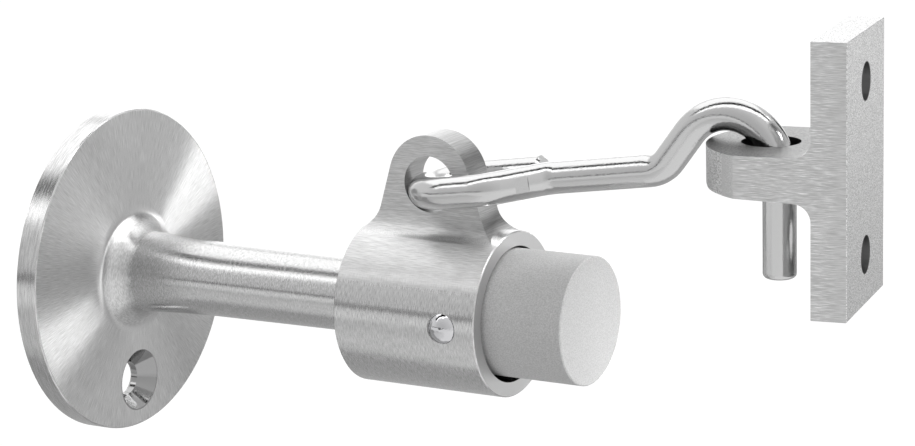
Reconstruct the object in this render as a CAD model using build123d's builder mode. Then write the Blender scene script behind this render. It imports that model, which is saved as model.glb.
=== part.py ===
"""Hook door holder: a wall bumper with a swinging hook, and the keeper that is screwed to the door.

Millimetres, +Z up. The origin is the centre of the wall plate's back face and +X leads out from the wall.
The hook is drawn where it lies when it holds the door, with its tail down through the keeper's eye.
"""
import os
from math import asin, cos, degrees, radians, sin, sqrt, tan

from build123d import *

# Wall plate and post
plate_diameter = 63.5
plate_rim = 4.4
plate_crown = 0.5
plate_edge_chamfer = 0.2
throat_round = 5.0
post_root_diameter = 16.6
post_waist_diameter = 14.4
post_flare_length = 22.0
post_neck_diameter = 13.8
post_length = 56.0

# Wall fixing: one countersunk screw below the post and a blind tapped hole on the axis
plate_screw_radius = 22.7
plate_screw_hole = 6.6
plate_screw_sink = 12.4
stud_hole_diameter = 5.1
stud_hole_depth = 14.0

# Socket that carries the bumper
socket_diameter = 31.0
socket_length = 29.9
socket_bore = 25.4
socket_bore_depth = 21.0
socket_edge_chamfer = 0.2

# Lug on top of the socket, which the hook's eye is linked through
lug_height = 23.8
lug_setback = 0.75
lug_hole = 10.6
lug_head_rise = 0.6
lug_radius = 8.6
lug_side_angle = 16.6
lug_foot_round = 7.5
lug_foot_sink = 0.6
lug_thickness = 6.8
lug_cove = 5.0

# Rubber bumper and the pin that holds it
bumper_clearance = 0.75
bumper_lift = 0.35
bumper_reach = 15.9
bumper_edge_chamfer = 0.2
pin_setback = 6.8
pin_head_diameter = 5.6
pin_head_height = 1.5
pin_shank_diameter = 3.2
pin_bite = 7.0
pin_clearance = 0.05
pin_seat_clearance = 0.1

# Hook, bent from one round rod
rod_diameter = 6.0
lug_running_gap = 0.3
lug_contact_angle = 218.0
hook_tilt = 8.6
eye_half_width = 8.6
far_leg_length = 11.0
near_leg_length = 8.2
joggle_angle = 45.0
joggle_bend_radius = 5.0
press_flat_depth = 0.35
press_flat_length = 2.6
shaft_length = 18.65
riser_angle = 53.0
riser_bend_radius = 6.0
riser_length = 6.65
arch_radius = 9.65
tail_length = 18.95
tail_end_round = 0.9
far_leg_chamfer = 0.5

# Keeper on the door
keeper_turn = 10.0
keeper_width = 27.7
keeper_height = 48.4
keeper_thickness = 6.35
keeper_edge_chamfer = 0.15
eye_hole = 10.5
eye_offset = 1.55
eye_rise = 1.35
eye_reach = 16.8
eye_thickness = 8.0
eye_nose_taper = 0.8
eye_nose_wall = 5.95
eye_nose_depth = 8.0
eye_nose_round = 2.6
eye_root_round = 3.2
keeper_screw_spacing = 30.6
keeper_screw_hole = 6.8
keeper_screw_sink = 12.4
screw_sink_angle = 82.0

# Places along the post, and the socket's radius
face_at_throat = plate_rim + plate_crown
socket_radius = socket_diameter / 2
socket_back = face_at_throat + post_length
socket_front = socket_back + socket_length
socket_floor = socket_front - socket_bore_depth
socket_middle = (socket_back + socket_front) / 2
waist_x = face_at_throat + post_flare_length
lug_x = socket_middle - lug_setback

# Lug: a round head and sides that run outward to feet, just below where the coves meet the socket
cove_z = sqrt((socket_radius + lug_cove) ** 2 - (lug_thickness / 2 + lug_cove) ** 2)
foot_z = cove_z * socket_radius / (socket_radius + lug_cove) - lug_foot_sink
head_z = lug_height + lug_head_rise
head_side_x = lug_radius * cos(radians(lug_side_angle))
head_side_z = head_z + lug_radius * sin(radians(lug_side_angle))
foot_x = head_side_x + (head_side_z - foot_z) * tan(radians(lug_side_angle))

# Pin across the socket wall
pin_x = socket_front - pin_setback
pin_seat_radius = pin_head_diameter / 2 + pin_seat_clearance
pin_seat_y = sqrt(socket_radius**2 - pin_seat_radius**2)
bumper_radius = socket_bore / 2 - bumper_clearance
pin_tip_y = bumper_radius - pin_bite
pin_dome_radius = ((pin_head_diameter / 2) ** 2 + pin_head_height**2) / (2 * pin_head_height)
pin_dome_angle = degrees(asin(pin_head_diameter / 2 / pin_dome_radius))

# Hook's pivot: the rod lies low in the lug's hole, on the side of the wall
rod_radius = rod_diameter / 2
pivot_offset = lug_hole / 2 - rod_radius - lug_running_gap
pivot_x = lug_x + pivot_offset * cos(radians(lug_contact_angle))
pivot_z = lug_height + pivot_offset * sin(radians(lug_contact_angle))
shaft_direction = Vector(cos(radians(hook_tilt)), 0, sin(radians(hook_tilt)))
riser_direction = Vector(cos(radians(riser_angle)), 0, sin(radians(riser_angle)))

# Stations of the hook, measured along its shaft from the pivot
joggle_start = eye_half_width + near_leg_length
joggle_end = joggle_start + eye_half_width / tan(radians(joggle_angle))
joggle_tangent = joggle_bend_radius * tan(radians(joggle_angle) / 2)
riser_tangent = riser_bend_radius * tan(radians(riser_angle - hook_tilt) / 2)
shaft_end = joggle_end + joggle_tangent + shaft_length + riser_tangent

# Corners of the gooseneck
pivot = Vector(pivot_x, 0, pivot_z)
riser_foot = pivot + shaft_direction * shaft_end
arch_tangent = arch_radius * tan(radians(riser_angle + 90) / 2)
arch_corner = riser_foot + riser_direction * (riser_tangent + riser_length + arch_tangent)
tail_end = arch_corner - Vector(0, 0, arch_tangent + tail_length)

# Keeper's eye: its centre and the level of its middle
eye_x = tail_end.X - eye_offset
eye_z = arch_corner.Z - arch_tangent + eye_rise
keeper_out = Vector(cos(radians(keeper_turn)), sin(radians(keeper_turn)), 0)
keeper_across = Vector(-sin(radians(keeper_turn)), cos(radians(keeper_turn)), 0)
eye_centre = Vector(eye_x, 0, eye_z)
eye_tip = eye_hole / 2 + eye_nose_wall
plate_front = eye_reach - keeper_thickness
eye_nose_level = eye_nose_taper - eye_thickness / 2

# One-piece casting: wall plate, post, socket and lug
with BuildPart() as holder_body:
    with BuildSketch(Plane.XZ) as lug_outline:
        with Locations((lug_x, 0)):
            Rectangle(2 * (foot_x + lug_foot_round), foot_z, align=(Align.CENTER, Align.MIN))
        with BuildLine():
            Polyline(
                (lug_x - foot_x, foot_z),
                (lug_x + foot_x, foot_z),
                (lug_x + head_side_x, head_side_z),
                (lug_x - head_side_x, head_side_z),
                close=True,
            )
        make_face()
        with Locations((lug_x, head_z)):
            Circle(lug_radius)
        lug_feet = [
            lug_outline.vertices().sort_by_distance((lug_x + side * foot_x, foot_z))[0] for side in (-1, 1)
        ]
        fillet(lug_feet, lug_foot_round)
    extrude(amount=lug_thickness / 2 + lug_cove, both=True)
    with BuildSketch(Plane.YZ.offset(socket_back + socket_edge_chamfer)) as lug_section:
        Circle(socket_radius)
        Rectangle(lug_thickness, head_z + 2 * lug_radius, align=(Align.CENTER, Align.MIN))
        lug_coves = lug_section.vertices().sort_by_distance((0, socket_radius))[:2]
        fillet(lug_coves, lug_cove)
    extrude(amount=socket_length - 2 * socket_edge_chamfer, mode=Mode.INTERSECT)
    with BuildSketch(Plane.XZ) as turned_profile:
        with BuildLine():
            Polyline((0, 0), (0, plate_diameter / 2), (plate_rim, plate_diameter / 2))
            Line((plate_rim, plate_diameter / 2), (face_at_throat, post_root_diameter / 2))
            TangentArc(
                (waist_x, post_waist_diameter / 2),
                (face_at_throat, post_root_diameter / 2),
                tangent=(waist_x - socket_back, (post_waist_diameter - post_neck_diameter) / 2),
            )
            Polyline(
                (waist_x, post_waist_diameter / 2),
                (socket_back, post_neck_diameter / 2),
                (socket_back, socket_radius),
                (socket_front, socket_radius),
                (socket_front, 0),
                (0, 0),
            )
        make_face()
        throat = turned_profile.vertices().sort_by_distance((face_at_throat, post_root_diameter / 2))[0]
        fillet(throat, throat_round)
        rim_edge = turned_profile.vertices().sort_by_distance((plate_rim, plate_diameter / 2))[0]
        chamfer(rim_edge, plate_edge_chamfer)
        socket_edges = [
            turned_profile.vertices().sort_by_distance((socket_end, socket_radius))[0]
            for socket_end in (socket_back, socket_front)
        ]
        chamfer(socket_edges, socket_edge_chamfer)
    revolve(axis=Axis.X)
    with Locations(Plane((lug_x, 0, lug_height), z_dir=(0, 1, 0))):
        Hole(lug_hole / 2)
    with Locations(Plane((socket_front, 0, 0), z_dir=(1, 0, 0))):
        Hole(socket_bore / 2, depth=socket_bore_depth)
    with Locations(Plane((0, 0, 0), z_dir=(-1, 0, 0))):
        Hole(stud_hole_diameter / 2, depth=stud_hole_depth)
    with Locations(Plane((face_at_throat, 0, -plate_screw_radius), z_dir=(1, 0, 0))):
        CounterSinkHole(
            plate_screw_hole / 2,
            plate_screw_sink / 2,
            counter_sink_angle=screw_sink_angle,
            depth=face_at_throat,
        )
    with BuildSketch(Plane((pin_x, -pin_seat_y, 0), z_dir=(0, -1, 0))):
        Circle(pin_seat_radius)
    extrude(amount=socket_radius, mode=Mode.SUBTRACT)
    with BuildSketch(Plane((pin_x, -pin_seat_y, 0), z_dir=(0, 1, 0))):
        Circle(pin_shank_diameter / 2 + pin_clearance)
    extrude(amount=pin_seat_y, mode=Mode.SUBTRACT)

# Rubber bumper, standing on the socket's floor
with BuildPart() as bumper:
    with BuildSketch(Plane((socket_floor, 0, bumper_lift), z_dir=(1, 0, 0))):
        Circle(bumper_radius)
    extrude(amount=socket_bore_depth + bumper_reach)
    chamfer(bumper.edges().group_by(Axis.X)[-1], bumper_edge_chamfer)
    with BuildSketch(Plane((pin_x, -bumper_radius, 0), z_dir=(0, 1, 0))):
        Circle(pin_shank_diameter / 2 + pin_clearance)
    extrude(amount=pin_bite + pin_clearance, mode=Mode.SUBTRACT)

# Round-headed pin, driven through the socket's wall into the bumper
with BuildPart() as bumper_pin:
    with BuildSketch(Plane((pin_x, 0, 0), x_dir=(1, 0, 0), z_dir=(0, 0, 1))):
        with BuildLine():
            Polyline(
                (0, -pin_seat_y - pin_head_height),
                (0, -pin_tip_y),
                (pin_shank_diameter / 2, -pin_tip_y),
                (pin_shank_diameter / 2, -pin_seat_y),
                (pin_head_diameter / 2, -pin_seat_y),
            )
            JernArc((0, -pin_seat_y - pin_head_height), (1, 0), pin_dome_radius, pin_dome_angle)
        make_face()
    revolve(axis=Axis((pin_x, 0, 0), (0, 1, 0)))

# Hook: an eye round the lug, a joggle to the centre plane, a shaft, a gooseneck and a tail
eye_plane = Plane(pivot, x_dir=shaft_direction, z_dir=Vector(-shaft_direction.Z, 0, shaft_direction.X))
joggle_middle = eye_plane.from_local_coords(((joggle_start + joggle_end) / 2, -eye_half_width / 2))
joggle_direction = shaft_direction * cos(radians(joggle_angle)) + Vector(0, sin(radians(joggle_angle)), 0)
press_direction = shaft_direction * sin(radians(joggle_angle)) - Vector(0, cos(radians(joggle_angle)), 0)
press_flat = joggle_middle + press_direction * (rod_radius - press_flat_depth)
with BuildPart() as hook:
    with BuildLine() as rod_line:
        far_leg = Line(
            eye_plane.from_local_coords((eye_half_width + far_leg_length, eye_half_width)),
            eye_plane.from_local_coords((eye_half_width, eye_half_width)),
        )
        eye_bend = ThreePointArc(
            far_leg @ 1, pivot, eye_plane.from_local_coords((eye_half_width, -eye_half_width))
        )
        FilletPolyline(
            eye_bend @ 1,
            eye_plane.from_local_coords((joggle_start, -eye_half_width)),
            eye_plane.from_local_coords((joggle_end, 0)),
            riser_foot,
            arch_corner,
            tail_end,
            radius=(joggle_bend_radius, joggle_bend_radius, riser_bend_radius, arch_radius),
        )
    with BuildSketch(Plane(far_leg @ 0, z_dir=far_leg % 0)):
        Circle(rod_radius)
    sweep(path=rod_line.line)
    far_leg_face = hook.faces().filter_by(GeomType.PLANE).sort_by(Axis.Z)[-1]
    chamfer(far_leg_face.edges(), far_leg_chamfer)
    tail_face = hook.faces().filter_by(GeomType.PLANE).sort_by(Axis.Z)[0]
    fillet(tail_face.edges(), tail_end_round)
    with BuildSketch(Plane(press_flat, x_dir=joggle_direction, z_dir=press_direction)):
        Rectangle(press_flat_length, rod_diameter)
    extrude(amount=rod_radius, mode=Mode.SUBTRACT)

# Keeper: a door plate with an eye standing out from its middle
keeper_side = Plane(eye_centre, x_dir=keeper_out, z_dir=keeper_out.cross(Vector(0, 0, 1)))
keeper_plan = Plane(eye_centre, x_dir=keeper_out, z_dir=(0, 0, 1))
with BuildPart() as keeper:
    with BuildSketch(keeper_side) as keeper_profile:
        with Locations((eye_reach, 0)):
            Rectangle(keeper_thickness, keeper_height, align=(Align.MAX, Align.CENTER))
        with BuildLine():
            Polyline(
                (plate_front, eye_thickness / 2),
                (-eye_tip, eye_thickness / 2),
                (-eye_tip, eye_nose_level),
                (plate_front, -eye_thickness / 2),
                close=True,
            )
        make_face()
        eye_roots = [
            keeper_profile.vertices().sort_by_distance((plate_front, side * eye_thickness / 2))[0]
            for side in (1, -1)
        ]
        fillet(eye_roots, eye_root_round)
        nose_foot = keeper_profile.vertices().sort_by_distance((-eye_tip, eye_nose_level))[0]
        fillet(nose_foot, eye_nose_round)
    extrude(amount=keeper_width / 2, both=True)
    with BuildSketch(keeper_plan):
        with BuildLine():
            keeper_sides = Polyline(
                (eye_nose_depth - eye_tip, -keeper_width / 2),
                (eye_reach, -keeper_width / 2),
                (eye_reach, keeper_width / 2),
                (eye_nose_depth - eye_tip, keeper_width / 2),
            )
            ThreePointArc(keeper_sides @ 1, (-eye_tip, 0), keeper_sides @ 0)
        make_face()
    extrude(amount=keeper_height / 2, both=True, mode=Mode.INTERSECT)
    with Locations(keeper_plan):
        Hole(eye_hole / 2)
    with Locations(Plane(eye_centre + keeper_out * plate_front, x_dir=keeper_across, z_dir=-keeper_out)):
        with GridLocations(0, keeper_screw_spacing, 1, 2):
            CounterSinkHole(
                keeper_screw_hole / 2,
                keeper_screw_sink / 2,
                counter_sink_angle=screw_sink_angle,
                depth=keeper_thickness,
            )
    door_face = keeper.faces().filter_by(GeomType.PLANE).sort_by(Axis(eye_centre, keeper_out))[-1]
    chamfer(door_face.outer_wire().edges(), keeper_edge_chamfer)

os.makedirs("parts", exist_ok=True)
for name, piece in (
    ("holder_body", holder_body),
    ("bumper", bumper),
    ("bumper_pin", bumper_pin),
    ("hook", hook),
    ("keeper", keeper),
):
    piece.part.label = name
    export_step(piece.part, f"parts/{name}.step")
    print(name, round(piece.part.volume, 1), "mm3, valid:", piece.part.is_valid)
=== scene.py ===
# %% [markdown]
# Hook door holder. A round wall plate carries a post, a socket with a rubber bumper, and a lug with a
# swinging hook. The hook's tail drops into the eye of a keeper on the door. Every piece is rigid metal or
# plain rubber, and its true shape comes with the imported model, so this lesson is about finish: how brushed,
# turned, cast and polished metal each answer to light, and how a small studio is set up so that they can.

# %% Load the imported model
import math

import bpy
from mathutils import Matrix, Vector


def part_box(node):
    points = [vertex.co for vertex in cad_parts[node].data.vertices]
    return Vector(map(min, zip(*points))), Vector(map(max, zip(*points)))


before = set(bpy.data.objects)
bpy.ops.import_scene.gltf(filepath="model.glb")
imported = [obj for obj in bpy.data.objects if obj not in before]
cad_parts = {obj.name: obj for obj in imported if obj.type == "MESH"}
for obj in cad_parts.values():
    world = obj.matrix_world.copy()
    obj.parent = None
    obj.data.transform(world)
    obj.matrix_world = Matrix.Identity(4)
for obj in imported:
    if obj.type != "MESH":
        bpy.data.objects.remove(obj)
bpy.ops.object.select_all(action="DESELECT")
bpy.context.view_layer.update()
for node_name in sorted(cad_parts):
    low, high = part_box(node_name)
    print(node_name, "size in mm:", [round((b - a) * 1000, 1) for a, b in zip(low, high)])

# %% [markdown]
# The photograph was taken from the right of the holder and a little above, with a long lens. The place, turn
# and lens below come from matching the outlines of the plate, socket, bumper and keeper, so the model falls
# on the same pixels. The picture is 915 by 446, and Blender counts the lens against a sensor 36 mm wide.

# %% Camera
CAMERA_PLACE = (0.37557, -0.50412, 0.14754)
CAMERA_TURN_DEG = (77.3365, 1.3894, 30.1559)
CAMERA_LENS_MM = 127.208

bpy.ops.object.camera_add(
    location=CAMERA_PLACE, rotation=[math.radians(angle) for angle in CAMERA_TURN_DEG]
)
camera = bpy.context.object
camera.name = "camera"
camera.data.sensor_width = 36.0
camera.data.lens = CAMERA_LENS_MM
camera.data.clip_start = 0.01
bpy.context.scene.camera = camera
bpy.context.scene.view_settings.view_transform = "Standard"
print("camera at", CAMERA_PLACE, "lens", CAMERA_LENS_MM, "mm")

# %% [markdown]
# Colours are easiest to choose as the hex values that a screen shows, but a shader counts in linear light.
# One function turns the first into the second. Another adds a node with its settings, its fixed values and
# its links, which keeps the recipes for the finishes short enough to read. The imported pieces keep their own
# meshes, so a finish only takes the place of what is in their material slots.

# %% Helpers for the finishes
def linear(hex_code):
    channels = [int(hex_code[i : i + 2], 16) / 255 for i in (0, 2, 4)]
    return tuple(c / 12.92 if c <= 0.04045 else ((c + 0.055) / 1.055) ** 2.4 for c in channels) + (1.0,)


def add(tree, kind, sockets=None, **settings):
    node = tree.nodes.new(kind)
    for name, value in settings.items():
        setattr(node, name, value)
    for key, value in (sockets or {}).items():
        if isinstance(value, bpy.types.NodeSocket):
            tree.links.new(value, node.inputs[key])
        else:
            node.inputs[key].default_value = value
    return node


def new_finish(name):
    finish = bpy.data.materials.new(name)
    finish.use_nodes = True
    finish.node_tree.nodes.clear()
    return finish, finish.node_tree


def dress(node_name, finish, sockets):
    shader = add(finish.node_tree, "ShaderNodeBsdfPrincipled", sockets)
    add(finish.node_tree, "ShaderNodeOutputMaterial", {"Surface": shader.outputs["BSDF"]})
    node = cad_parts[node_name]
    node.data.materials.clear()
    node.data.materials.append(finish)
    print(node_name, "is finished in", finish.name)


print("screen grey 808080 is", round(linear("808080")[0], 3), "in linear light")

# %% [markdown]
# Every finish here is a pattern, the tones that it gives, and the areas where it lies. Patterns are drawn
# from places in millimetres: a noise is stretched by the length and width of one mark, so a long thin step
# gives grooves and an even one gives grain. An area is a band of places with a soft edge, or the overlap of
# two areas. That way each surface of one casting is worked in its own direction, and its mesh stays whole.

# %% Patterns, tones and areas
def millimetres(tree):
    coords = add(tree, "ShaderNodeTexCoord")
    mm = add(tree, "ShaderNodeVectorMath", {0: coords.outputs["Object"], "Scale": 1000.0}, operation="SCALE")
    return mm.outputs["Vector"], coords.outputs["Normal"]


def streaks(tree, place, mark_mm):
    marks = add(tree, "ShaderNodeVectorMath", {0: place, 1: mark_mm}, operation="DIVIDE").outputs["Vector"]
    noise = add(tree, "ShaderNodeTexNoise", {"Vector": marks, "Scale": 1.0, "Detail": 2.0, "Roughness": 0.6})
    return noise.outputs["Fac"]


def two_tones(tree, pattern, dark, light, hollow=0.3, crest=0.7):
    share = add(
        tree,
        "ShaderNodeMapRange",
        {"Value": pattern, "From Min": hollow, "From Max": crest},
        interpolation_type="SMOOTHSTEP",
    ).outputs["Result"]
    ends = {0: share, 6: linear(dark), 7: linear(light)}
    return add(tree, "ShaderNodeMix", ends, data_type="RGBA").outputs[2]


def areas(tree, bands, overlaps):
    found = {}
    for name, (value, outside, inside) in bands.items():
        found[name] = add(
            tree,
            "ShaderNodeMapRange",
            {"Value": value, "From Min": outside, "From Max": inside},
            interpolation_type="SMOOTHSTEP",
        ).outputs["Result"]
    for name, (first, second) in overlaps.items():
        both = {0: found[first], 1: found[second]}
        found[name] = add(tree, "ShaderNodeMath", both, operation="MULTIPLY").outputs[0]
    print(len(bands), "bands and", len(overlaps), "overlaps:", ", ".join(found))
    return found


# %% [markdown]
# Satin chrome is plating over a casting that was brushed first. The brush leaves fine grooves, and light
# spreads across the grooves far more than along them, so each surface shows which way it was worked: out
# from the post on the plate, round the post and the socket, along the socket beside the lug, and across the
# lug's rim. A picture of brushed metal could be wrapped round the casting, but its grain would run one way
# and bend at every seam, so the grooves are drawn by place. The first cell finds the surfaces by their
# distance from the wall (x), their height (z), their radius from the post's axis and the way they face. A
# band is given from where it isn't to where it is, with a soft edge between the two. It is in millimetres,
# or for the way a surface faces, from 0 for edge-on to 1 for straight at it.

# %% Surfaces of the holder
PLATE_FACE_MM = 4.9
PLATE_RADIUS_MM = 31.75
THROAT_MM = (10.0, 8.0)
SOCKET_MM = (60.9, 90.8)
SOCKET_OUTSIDE_MM = (16.8, 16.2)
SOCKET_CROWN_MM = (8.5, 11.5)
BORE_FLOOR_MM = 69.8
BORE_RADIUS_MM = 12.7
LUG_FOOT_MM = (4.5, 10.5)
LUG_RIM_MM = (13.6, 14.6)
SCREW_SINK_MM = (0.0, 0.0, -22.7)
SCREW_SINK_RADIUS_MM = 6.25

satin_chrome, tree = new_finish("satin_chrome_brushed")
mm, normal = millimetres(tree)
x, y, z = add(tree, "ShaderNodeSeparateXYZ", {0: mm}).outputs
without_x = {0: mm, 1: (0.0, 1.0, 1.0)}
radial = add(tree, "ShaderNodeVectorMath", without_x, operation="MULTIPLY").outputs["Vector"]
radius = add(tree, "ShaderNodeVectorMath", {0: radial}, operation="LENGTH").outputs["Value"]
to_sink = {0: radial, 1: SCREW_SINK_MM}
from_sink = add(tree, "ShaderNodeVectorMath", to_sink, operation="DISTANCE").outputs["Value"]
facing = add(tree, "ShaderNodeVectorMath", {0: normal}, operation="ABSOLUTE").outputs["Vector"]
end_on, side_on, _ = add(tree, "ShaderNodeSeparateXYZ", {0: facing}).outputs
on = areas(
    tree,
    {
        "plate": (x, PLATE_FACE_MM + 0.4, PLATE_FACE_MM + 0.05),
        "rim": (radius, PLATE_RADIUS_MM - 0.4, PLATE_RADIUS_MM - 0.2),
        "off_wall": (x, 0.1, 0.3),
        "sink": (from_sink, SCREW_SINK_RADIUS_MM, SCREW_SINK_RADIUS_MM - 0.3),
        "throat": (x, *THROAT_MM),
        "socket": (x, SOCKET_MM[0] - 0.5, SOCKET_MM[0]),
        "front": (x, SOCKET_MM[1] - 0.5, SOCKET_MM[1] - 0.1),
        "end_face": (end_on, 0.9, 0.97),
        "long_face": (end_on, 0.9, 0.7),
        "lug_edge": (side_on, 0.75, 0.45),
        "beside_lug": (z, *LUG_FOOT_MM),
        "lug_height": (z, *LUG_RIM_MM),
        "crown": (z, *SOCKET_CROWN_MM),
        "outside": (radius, *SOCKET_OUTSIDE_MM),
        "inside": (radius, BORE_RADIUS_MM + 0.1, BORE_RADIUS_MM - 0.1),
        "past_floor": (x, BORE_FLOOR_MM - 0.4, BORE_FLOOR_MM - 0.2),
    },
    {
        "plate_rim": ("rim", "plate"),
        "sunk": ("sink", "plate"),
        "screw_sink": ("sunk", "off_wall"),
        "over_socket": ("socket", "beside_lug"),
        "socket_top": ("over_socket", "long_face"),
        "round_crown": ("crown", "outside"),
        "socket_crown_painted_highlight": ("round_crown", "socket_top"),
        "socket_ring": ("front", "end_face"),
        "lug": ("socket", "lug_height"),
        "lug_rim": ("lug", "lug_edge"),
        "bore": ("inside", "past_floor"),
    },
)

# %% [markdown]
# Real grooves are a few hundredths of a millimetre wide, too fine for this picture, so they are drawn about
# an eighth of a millimetre wide. Round the post the pattern runs on the angle about its axis, in radians,
# counted so that the seam where it starts again is on the far side. On the plate that angle gives the grooves
# their width near the rim, and they pass right through the plate. Each row below gives a surface its pattern,
# the direction of its grooves, its roughness and how far it stretches a highlight. The directions out from
# the axis and round it are as long as the radius in millimetres, so the two fixed ones are long too, or they
# would count for little where one kind of brushing fades into the next.

# %% Brushing on the holder
GROOVE_WIDTH_MM = 0.12
TURNED_STROKE_RAD = 0.08
PLATE_STROKE_MM = 3.0
PLATE_GROOVE_RAD = GROOVE_WIDTH_MM / 30.0
THROUGH_PLATE_MM = 400.0
SOCKET_STROKE_MM = 2.5
SOCKET_GROOVE_MM = 0.8 * GROOVE_WIDTH_MM
LUG_STROKE_MM = 7.0
ALONG_SOCKET = (30.0, 0.0, 0.0)
ACROSS_LUG = (0.0, 60.0, 0.0)
# The socket's front ring is held at one height near the light end of the tones: a painted highlight.
RING_PAINTED_LIGHT = 0.7
POST_ROUGHNESS = 0.16
POST_STRETCH = 0.3

toward = add(tree, "ShaderNodeMath", {0: y, 1: -1.0}, operation="MULTIPLY").outputs[0]
angle = add(tree, "ShaderNodeMath", {0: z, 1: toward}, operation="ARCTAN2").outputs[0]
polar = add(tree, "ShaderNodeCombineXYZ", {0: x, 1: angle, 2: radius}).outputs[0]
turned = streaks(tree, polar, (GROOVE_WIDTH_MM, TURNED_STROKE_RAD, GROOVE_WIDTH_MM))
rayed = streaks(tree, polar, (THROUGH_PLATE_MM, PLATE_GROOVE_RAD, PLATE_STROKE_MM))
lengthwise = streaks(tree, mm, (SOCKET_STROKE_MM, SOCKET_GROOVE_MM, SOCKET_GROOVE_MM))
crosswise = streaks(tree, mm, (GROOVE_WIDTH_MM, LUG_STROKE_MM, GROOVE_WIDTH_MM))
axis_and_radius = {0: (1.0, 0.0, 0.0), 1: radial}
circling = add(tree, "ShaderNodeVectorMath", axis_and_radius, operation="CROSS_PRODUCT").outputs["Vector"]

height, groove, sheen, stretch = turned, circling, POST_ROUGHNESS, POST_STRETCH
for area, pattern, direction, roughness, pull in (
    ("throat", turned, circling, 0.28, POST_STRETCH),
    ("plate", rayed, radial, 0.32, 1.0),
    ("socket_top", lengthwise, ALONG_SOCKET, 0.34, 0.9),
    ("lug_rim", crosswise, ACROSS_LUG, 0.26, 0.9),
    ("socket_ring", RING_PAINTED_LIGHT, circling, 0.3, 0.5),
    ("plate_rim", turned, circling, POST_ROUGHNESS, POST_STRETCH),
):
    height = add(tree, "ShaderNodeMix", {0: on[area], 2: height, 3: pattern}, data_type="FLOAT").outputs[0]
    groove = add(tree, "ShaderNodeMix", {0: on[area], 4: groove, 5: direction}, data_type="VECTOR").outputs[1]
    sheen = add(tree, "ShaderNodeMix", {0: on[area], 2: sheen, 3: roughness}, data_type="FLOAT").outputs[0]
    stretch = add(tree, "ShaderNodeMix", {0: on[area], 2: stretch, 3: pull}, data_type="FLOAT").outputs[0]
    print(area, "has roughness", roughness, "and anisotropy", pull)
normal_and_groove = {0: normal, 1: groove}
across = add(tree, "ShaderNodeVectorMath", normal_and_groove, operation="CROSS_PRODUCT").outputs["Vector"]
across = add(tree, "ShaderNodeVectorMath", {0: across}, operation="NORMALIZE").outputs["Vector"]

# %% [markdown]
# Chrome is a mid grey to the eye, lighter on the crests of the grooves than between them. The socket's crown
# beside the lug is given a lighter chrome tone, a painted highlight for the light that its top catches. The
# screw's countersink was cut smooth and left unbrushed, and its darker grey is painted shade in that recess.
# The bore is painted near black, painted shade, as no light finds its way out of the gap round the bumper.
# The socket's front ring takes the light end of the tones, a painted highlight. The grooves are a hundredth
# of a millimetre deep.

# %% Tones of the holder
GROOVE_DEPTH_M = 0.00001
GROOVE_ROUGHNESS = 0.12
SINK_ROUGHNESS = 0.1

tone = two_tones(tree, height, "ADADAD", "D1D1D1")
for area, colour in (
    # painted highlight: the socket's top beside the lug in a lighter chrome tone
    ("socket_crown_painted_highlight", two_tones(tree, height, "C4C4C4", "EEEEEE")),
    # painted shade: the countersink recess in a darker grey
    ("screw_sink", linear("969696")),
    # painted shade: the bore round the bumper near black
    ("bore", linear("181818")),
):
    tone = add(tree, "ShaderNodeMix", {0: on[area], 6: tone, 7: colour}, data_type="RGBA").outputs[2]
grooved = {0: height, 1: GROOVE_ROUGHNESS, 2: sheen}
worked = add(tree, "ShaderNodeMath", grooved, operation="MULTIPLY_ADD").outputs[0]
smoothed = {0: on["screw_sink"], 2: worked, 3: SINK_ROUGHNESS}
relief = add(tree, "ShaderNodeBump", {"Height": height, "Strength": 0.4, "Distance": GROOVE_DEPTH_M})
dress(
    "holder_body",
    satin_chrome,
    {
        "Base Color": tone,
        "Metallic": 1.0,
        "Roughness": add(tree, "ShaderNodeMix", smoothed, data_type="FLOAT").outputs[0],
        "Anisotropic": stretch,
        "Tangent": across,
        "Normal": relief.outputs["Normal"],
    },
)

# %% [markdown]
# The keeper is a small casting, plated like the holder. Its two sides were run over a belt, which leaves
# level scratches, and white glints are painted on crests of the scratches in a band between the nose and the
# back: a painted highlight. Its back, ends and nose still have the sandy skin of the mould under the plating,
# with grains of about a fifth of a millimetre, and the eye's top is painted darker, painted shade. Belt
# scratches are a few hundredths of a millimetre wide and are drawn a little wider, to show. Two
# materials on two sets of faces would do, but one material that reads which way a surface faces leaves the
# imported mesh alone. The keeper stands turned, so its places are turned back before its surfaces are found,
# and its two screw holes are one, mirrored about the eye's level.

# %% Surfaces of the keeper
KEEPER_TURN_DEG = 10.0
SCRATCH_MM = (2.6, 0.08, 0.08)
SAND_MM = (0.22, 0.22, 0.22)
HIGHLIGHT_BAND_FROM_MM = (136.0, 141.0)
HIGHLIGHT_BAND_TO_MM = (156.0, 153.5)
EYE_TOP_MM = (44.0, 43.0)
EYE_LEVEL_MM = 32.64
EYE_BORE_MM = (142.83, 0.0, 0.0)
EYE_BORE_WALL_MM = (5.31, 5.27)
SCREW_HOLE_MM = (-24.8, 15.3, 0.0)
SCREW_HOLE_WALL_MM = (3.5, 3.42)

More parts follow.
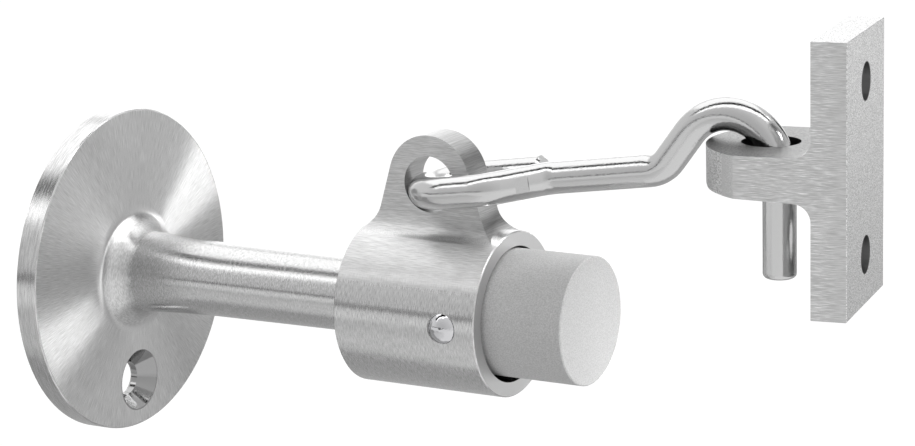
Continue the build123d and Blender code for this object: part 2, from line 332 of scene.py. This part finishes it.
belted_chrome, tree = new_finish("satin_chrome_cast_and_belted")
mm, normal = millimetres(tree)
turned_back = {"Vector": mm, "Rotation": (0.0, 0.0, -math.radians(KEEPER_TURN_DEG))}
squared = add(tree, "ShaderNodeMapping", turned_back).outputs[0]
out, off_side, level = add(tree, "ShaderNodeSeparateXYZ", {0: squared}).outputs
scratches = streaks(tree, squared, SCRATCH_MM)
sand = streaks(tree, mm, SAND_MM)
_, side_on, upward = add(tree, "ShaderNodeSeparateXYZ", {0: normal}).outputs
sideways = add(tree, "ShaderNodeMath", {0: side_on}, operation="ABSOLUTE").outputs[0]
from_eye = add(tree, "ShaderNodeMath", {0: level, 1: EYE_LEVEL_MM}, operation="SUBTRACT").outputs[0]
from_eye = add(tree, "ShaderNodeMath", {0: from_eye}, operation="ABSOLUTE").outputs[0]
paired = add(tree, "ShaderNodeCombineXYZ", {0: off_side, 1: from_eye}).outputs[0]
to_hole = {0: paired, 1: SCREW_HOLE_MM}
from_hole = add(tree, "ShaderNodeVectorMath", to_hole, operation="DISTANCE").outputs["Value"]
without_z = {0: mm, 1: (1.0, 1.0, 0.0)}
plan = add(tree, "ShaderNodeVectorMath", without_z, operation="MULTIPLY").outputs["Vector"]
to_bore = {0: plan, 1: EYE_BORE_MM}
from_bore = add(tree, "ShaderNodeVectorMath", to_bore, operation="DISTANCE").outputs["Value"]
on = areas(
    tree,
    {
        "belted": (sideways, 0.85, 0.87),
        "past_nose": (out, *HIGHLIGHT_BAND_FROM_MM),
        "before_back": (out, *HIGHLIGHT_BAND_TO_MM),
        "crests": (scratches, 0.55, 0.68),
        "topside": (upward, 0.8, 0.95),
        "eye_height": (level, *EYE_TOP_MM),
        "screw_hole": (from_hole, *SCREW_HOLE_WALL_MM),
        "eye_bore": (from_bore, *EYE_BORE_WALL_MM),
    },
    {
        "highlight_band": ("past_nose", "before_back"),
        "highlight_crests": ("crests", "highlight_band"),
        "painted_glint": ("highlight_crests", "belted"),
        "eye_top_painted_shade": ("topside", "eye_height"),
    },
)

# %% [markdown]
# The tones go on one over the other, as they would be masked and sprayed: the sandy skin first, then the
# belted sides with their painted glints, then the eye's top in painted shade, and last the holes, painted
# dark as the shade inside them.

# %% Satin chrome on the keeper
SAND_DEPTH_M = 0.0001

tone = two_tones(tree, sand, "989898", "E8E8E8", hollow=0.35, crest=0.65)
for area, colour in (
    ("belted", two_tones(tree, scratches, "ACACAC", "D2D2D2")),
    # painted highlight: white glints on the belted sides
    ("painted_glint", linear("F0F0F0")),
    # painted shade: the eye's top darker than the rest of the casting
    ("eye_top_painted_shade", two_tones(tree, sand, "585858", "989898")),
    # painted shade: the screw holes and the eye's bore darker inside
    ("screw_hole", linear("888888")),
    ("eye_bore", linear("484848")),
):
    tone = add(tree, "ShaderNodeMix", {0: on[area], 6: tone, 7: colour}, data_type="RGBA").outputs[2]
height = add(tree, "ShaderNodeMix", {0: on["belted"], 2: sand, 3: scratches}, data_type="FLOAT").outputs[0]
relief = add(tree, "ShaderNodeBump", {"Height": height, "Strength": 0.3, "Distance": SAND_DEPTH_M})
dress(
    "keeper",
    belted_chrome,
    {"Base Color": tone, "Metallic": 1.0, "Roughness": 0.36, "Normal": relief.outputs["Normal"]},
)

# %% [markdown]
# The hook was drawn as round wire, bent, then plated without brushing. It is smoother than the castings and
# shows the studio in long soft bands. Smooth metal alone would look like a glass tube, so the marks of
# drawing break the bands a little. They are hundredths of a millimetre wide and are drawn a quarter of a
# millimetre wide, to show.

# %% Plated wire
DRAWING_MARK_MM = (0.4, 0.25, 0.25)
DRAWING_DEPTH_M = 0.00004

plated_wire, tree = new_finish("plated_drawn_wire")
mm, _ = millimetres(tree)
marks = streaks(tree, mm, DRAWING_MARK_MM)
relief = add(tree, "ShaderNodeBump", {"Height": marks, "Strength": 0.5, "Distance": DRAWING_DEPTH_M})
dress(
    "hook",
    plated_wire,
    {
        "Base Color": linear("BEBEBE"),
        "Metallic": 1.0,
        "Roughness": 0.13,
        "Normal": relief.outputs["Normal"],
    },
)

# %% [markdown]
# The pin's head was left bright, so it is a small mirror. The hammer that set it left shallow dents of a
# millimetre or two, which bend what it shows. They could be modelled, but on a head this small a bump is
# enough.

# %% Polished pin
DENT_MM = (1.6, 1.6, 1.6)
DENT_DEPTH_M = 0.0003

polished_chrome, tree = new_finish("polished_chrome")
mm, _ = millimetres(tree)
dents = streaks(tree, mm, DENT_MM)
relief = add(tree, "ShaderNodeBump", {"Height": dents, "Strength": 0.4, "Distance": DENT_DEPTH_M})
dress(
    "bumper_pin",
    polished_chrome,
    {
        "Base Color": linear("C4C4C6"),
        "Metallic": 1.0,
        "Roughness": 0.05,
        "Normal": relief.outputs["Normal"],
    },
)

# %% [markdown]
# Grey rubber is matte and a little dusty: almost no gloss, and a faint mottle of a quarter of a millimetre
# where the mould left it. One flat grey would pass for plastic, so the mottle sets both the tone and the
# bump.

# %% Grey rubber
MOTTLE_MM = (0.25, 0.25, 0.25)
MOTTLE_DEPTH_M = 0.0001

grey_rubber, tree = new_finish("grey_moulded_rubber")
mm, _ = millimetres(tree)
mottle = streaks(tree, mm, MOTTLE_MM)
relief = add(tree, "ShaderNodeBump", {"Height": mottle, "Strength": 0.3, "Distance": MOTTLE_DEPTH_M})
dress(
    "bumper",
    grey_rubber,
    {
        "Base Color": two_tones(tree, mottle, "B8B8B8", "D0D0D0"),
        "Roughness": 0.75,
        "Specular IOR Level": 0.3,
        "Normal": relief.outputs["Normal"],
    },
)

# %% [markdown]
# Metal looks like what stands round it. A picture of a studio could stand there, but lamps can be moved one
# at a time to see what each one does, so each is here for the mark that it leaves. A wide softbox overhead
# whitens the tops, and a long strip nearer the camera draws the bright line along the post and the hook. One
# behind lights the level tops of the lug and the keeper. A small one at the right opens the two bright fans
# on the wall plate. One at the side is for the rubber alone: reflections don't show it, because it would draw
# fans of its own. A lamp here adds to the white world behind it, so all of them are weak, and the tops stay
# just below white. Some places are easier to give as the camera sees them, to the right, back and up, and
# a lamp with no aim hangs level.

# %% Studio lamps
MIDDLE = (0.085, 0.0, 0.015)
STUDIO_TURN = math.radians(CAMERA_TURN_DEG[2])


def studio(right, back, up):
    return (
        right * math.cos(STUDIO_TURN) - back * math.sin(STUDIO_TURN),
        right * math.sin(STUDIO_TURN) + back * math.cos(STUDIO_TURN),
        up,
    )


def turn_to(aim, place, front):
    if aim is None:
        return (0.0, 0.0, STUDIO_TURN)
    return (Vector(aim) - Vector(place)).to_track_quat(front, "Y").to_euler()


for name, place, aim, width, depth, watts in (
    ("softbox_overhead", studio(-0.1, 0.57, 0.75), None, 1.3, 0.9, 3.2),
    ("softbox_front", studio(-0.2, -0.2, 0.75), None, 2.3, 0.2, 2.4),
    ("softbox_back", (-0.6, 0.9, 0.2), MIDDLE, 1.1, 0.7, 1.8),
    ("softbox_right", (0.735, 0.42, 0.645), MIDDLE, 0.5, 0.5, 7.2),
    ("softbox_side", (1.1, -0.25, 0.25), MIDDLE, 0.9, 0.7, 8.0),
):
    bpy.ops.object.light_add(type="AREA", location=place)
    lamp = bpy.context.object
    lamp.name = name
    lamp.data.shape = "RECTANGLE"
    lamp.data.size = width
    lamp.data.size_y = depth
    lamp.data.energy = watts
    lamp.rotation_euler = turn_to(aim, place, "-Z")
    lamp.visible_camera = False
    lamp.visible_glossy = name != "softbox_side"
    print(name, "gives", watts, "W from", [round(value, 2) for value in place])

# %% [markdown]
# Cards do the opposite of lamps. A darker world would dull every surface alike, but a card darkens only the
# band of a reflection in which it stands. The upper black card lies between the overhead softbox and the
# strip and draws the dark line along the post and the hook, a narrow one low in front draws the fine line
# along the socket, and one at the right darkens the plate beside its fan. A pale and a grey card below take
# the white floor's place in the undersides, which turn grey by degrees. The camera doesn't see the cards, and
# they cast no shadow.

# %% Cards
cards = {}
for name, hex_code in (("black", "202020"), ("grey", "B4B4B4"), ("pale", "F2F2F2")):
    cards[name], tree = new_finish(name + "_card")
    matte = add(tree, "ShaderNodeBsdfDiffuse", {"Color": linear(hex_code)})
    add(tree, "ShaderNodeOutputMaterial", {"Surface": matte.outputs[0]})

for name, place, aim, width, depth, colour in (
    ("card_upper", studio(-0.1, 0.01, 0.73), None, 2.5, 0.22, "black"),
    ("card_lower", (-0.35, -0.7, 0.015), MIDDLE, 1.5, 0.055, "black"),
    ("card_right", (0.5, 0.95, 0.36), MIDDLE, 0.6, 0.4, "black"),
    ("card_front", (-0.22, -0.38, -0.22), None, 0.7, 0.45, "pale"),
    ("card_below", studio(0.05, 0.5, -0.2), None, 1.4, 1.1, "grey"),
):
    bpy.ops.mesh.primitive_plane_add(size=1.0, location=place)
    sheet = bpy.context.object
    sheet.name = name
    sheet.scale = (width, depth, 1.0)
    sheet.rotation_euler = turn_to(aim, place, "Z")
    bpy.ops.object.transform_apply(location=True, rotation=True, scale=True)
    sheet.data.materials.append(cards[colour])
    sheet.visible_camera = False
    sheet.visible_shadow = False
    print(name, "is", colour, "and", width, "by", depth, "m")

# %% [markdown]
# A pale floor far below keeps the holder's shadow out of the picture. It could be lit until it is white, but
# that light would come back up and bleach the object. So to the camera and to reflections most of it is plain
# white, and the rest is paint, which keeps the shadow. The world is white to them too, a little dimmer behind
# the camera, where y runs from about -0.4 to -1 in the direction of a ray, and much dimmer as a lamp.

# %% Floor and world
FLOOR_LEVEL = -0.25
FLOOR_GLOW = 1.38
FLOOR_GLOW_SHARE = 0.7
WORLD_FILL = 0.38
WORLD_BEHIND_CAMERA = 0.75
BEHIND_CAMERA_Y = (-0.95, -0.4)


def seen_directly(tree):
    path = add(tree, "ShaderNodeLightPath").outputs
    total = path["Is Camera Ray"]
    for name in ("Is Glossy Ray", "Is Transmission Ray"):
        total = add(tree, "ShaderNodeMath", {0: total, 1: path[name]}, operation="MAXIMUM").outputs[0]
    return total


floor_paint, tree = new_finish("pale_floor_paint")
matte = add(tree, "ShaderNodeBsdfDiffuse", {"Color": linear("B4B4B4")})
glow = add(tree, "ShaderNodeEmission", {"Strength": FLOOR_GLOW})
share = add(tree, "ShaderNodeMath", {0: seen_directly(tree), 1: FLOOR_GLOW_SHARE}, operation="MULTIPLY")
both = add(tree, "ShaderNodeMixShader", {0: share.outputs[0], 1: matte.outputs[0], 2: glow.outputs[0]})
add(tree, "ShaderNodeOutputMaterial", {"Surface": both.outputs[0]})
bpy.ops.mesh.primitive_plane_add(size=8.0, location=(0.0, 0.0, FLOOR_LEVEL))
floor = bpy.context.object
floor.name = "floor"
floor.data.materials.append(floor_paint)

world = bpy.data.worlds.new("white_studio")
bpy.context.scene.world = world
world.use_nodes = True
tree = world.node_tree
tree.nodes.clear()
direction = add(tree, "ShaderNodeTexCoord").outputs["Generated"]
backward = add(tree, "ShaderNodeSeparateXYZ", {0: direction}).outputs["Y"]
shown = add(
    tree,
    "ShaderNodeMapRange",
    {
        "Value": backward,
        "From Min": BEHIND_CAMERA_Y[0],
        "From Max": BEHIND_CAMERA_Y[1],
        "To Min": WORLD_BEHIND_CAMERA,
        "To Max": 1.0,
    },
).outputs["Result"]
levels = {0: seen_directly(tree), 2: WORLD_FILL, 3: shown}
strength = add(tree, "ShaderNodeMix", levels, data_type="FLOAT").outputs[0]
sky = add(tree, "ShaderNodeBackground", {"Color": (1.0, 1.0, 1.0, 1.0), "Strength": strength})
add(tree, "ShaderNodeOutputWorld", {"Surface": sky.outputs[0]})
print("floor at", FLOOR_LEVEL, "m, world fills at", WORLD_FILL)
